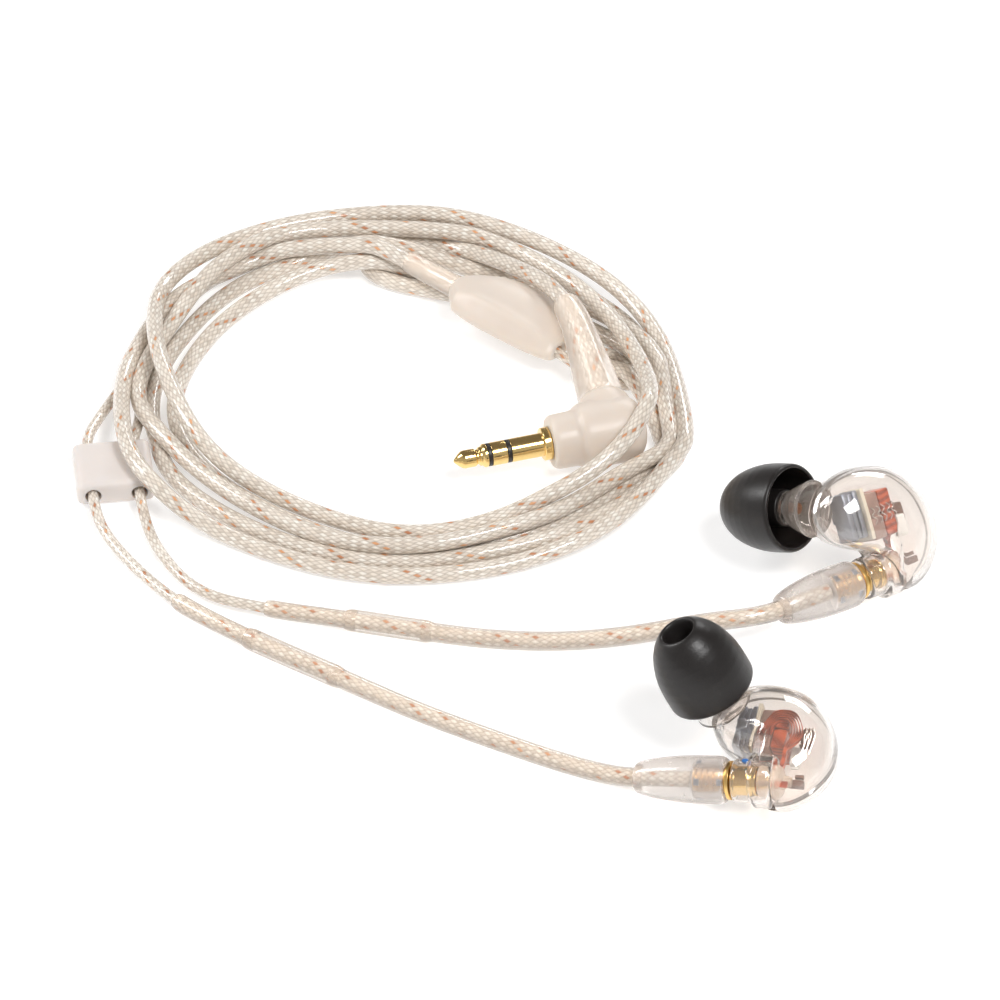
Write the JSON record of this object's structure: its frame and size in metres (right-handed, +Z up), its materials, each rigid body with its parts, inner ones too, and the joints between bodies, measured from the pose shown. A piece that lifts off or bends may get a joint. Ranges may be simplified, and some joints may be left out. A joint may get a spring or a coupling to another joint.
{
  "type": "in-ear monitors",
  "caption": "Wired in-ear monitors with clear shells, black ear sleeves, snap-swivel connectors, a slider, a Y split, wound cable and right-angle 3.5 mm plug.",
  "frame": {"origin": "on the surface, under the middle of the pair of earphones", "axes": "+Z up; +Y from the left earphone to the right one; +X from the wound cable towards the earphones"},
  "size_m": [0.1252, 0.1326, 0.0226],
  "materials": {
    "clear_shell": "transparent, polished",
    "milky": "translucent soft moulding, satin",
    "milky_white": "translucent white moulding, satin",
    "black_rubber": "soft black, satin",
    "gold": "gold plated, polished",
    "driver_steel": "drawn metal can, satin",
    "copper_red": "orange-red film and lacquer",
    "board": "pale board, matt",
    "damper_brown": "dark brown, matt",
    "insulator": "black plastic",
    "braid": "clear jacket over a silver braid"
  },
  "bodies": {
    "cable": {"cable_coil": "braid", "left_lead": "braid", "left_lead_sleeve": "milky", "left_lead_collar": "milky", "left_wire_form": "braid", "left_y_lead": "braid", "left_connector_boot": "milky", "left_plug_shell": "gold", "left_plug_insulator": "milky_white", "left_plug_pin": "gold", "right_lead": "braid", "right_lead_sleeve": "milky", "right_lead_collar": "milky", "right_wire_form": "braid", "right_y_lead": "braid", "right_connector_boot": "milky", "right_plug_shell": "gold", "right_plug_insulator": "milky_white", "right_plug_pin": "gold", "y_tail": "braid", "y_strain_relief": "milky", "y_split_body": "milky", "plug_tail": "braid", "plug_strain_relief": "milky", "plug_body": "milky", "jack_core": "insulator", "jack_sleeve": "gold", "jack_ring": "gold", "jack_tip": "gold"},
    "slider": {"slider": "milky_white"},
    "left_snap": {"left_snap_ring": "gold"},
    "left_earphone": {"left_outer_shell": "clear_shell", "left_inner_shell": "clear_shell", "left_nozzle": "clear_shell", "left_acoustic_damper": "damper_brown", "left_tweeter_driver": "driver_steel", "left_driver_plate": "board", "left_woofer_driver": "copper_red", "left_crossover_block": "damper_brown", "left_flex_circuit": "copper_red", "left_socket_collar": "clear_shell", "left_connector_socket": "gold", "left_socket_contact": "gold"},
    "left_sleeve": {"left_sleeve": "black_rubber"},
    "right_snap": {"right_snap_ring": "gold"},
    "right_earphone": {"right_outer_shell": "clear_shell", "right_inner_shell": "clear_shell", "right_nozzle": "clear_shell", "right_acoustic_damper": "damper_brown", "right_tweeter_driver": "driver_steel", "right_driver_plate": "board", "right_woofer_driver": "copper_red", "right_crossover_block": "damper_brown", "right_flex_circuit": "copper_red", "right_socket_collar": "clear_shell", "right_connector_socket": "gold", "right_socket_contact": "gold"},
    "right_sleeve": {"right_sleeve": "black_rubber"}
  },
  "joints": [
    {"name": "left_swivel", "type": "hinge", "parent": "cable", "child": "left_snap", "pos_m": [-0.0099, -0.0267, 0.00505], "axis": [0.9499, -0.2474, 0.1908], "continuous": true},
    {"name": "left_unplug", "type": "slide", "parent": "left_snap", "child": "left_earphone", "axis": [0.9499, -0.2474, 0.1908], "range_m": [0, 0.0045]},
    {"name": "left_sleeve_pull", "type": "slide", "parent": "left_earphone", "child": "left_sleeve", "axis": [-0.4477, 0.0684, 0.8916], "range_m": [0, 0.0085]},
    {"name": "right_swivel", "type": "hinge", "parent": "cable", "child": "right_snap", "pos_m": [0.0091, 0.016, 0.00442], "axis": [0.8155, 0.5689, -0.1063], "continuous": true},
    {"name": "right_unplug", "type": "slide", "parent": "right_snap", "child": "right_earphone", "axis": [0.8155, 0.5689, -0.1063], "range_m": [0, 0.0045]},
    {"name": "right_sleeve_pull", "type": "slide", "parent": "right_earphone", "child": "right_sleeve", "axis": [-0.7481, 0.5162, -0.417], "range_m": [0, 0.0085]},
    {"name": "slider_slide", "type": "slide", "parent": "cable", "child": "slider", "axis": [0.1219, -0.9925, 0], "range_m": [-0.0025, 0.0025]}
  ]
}
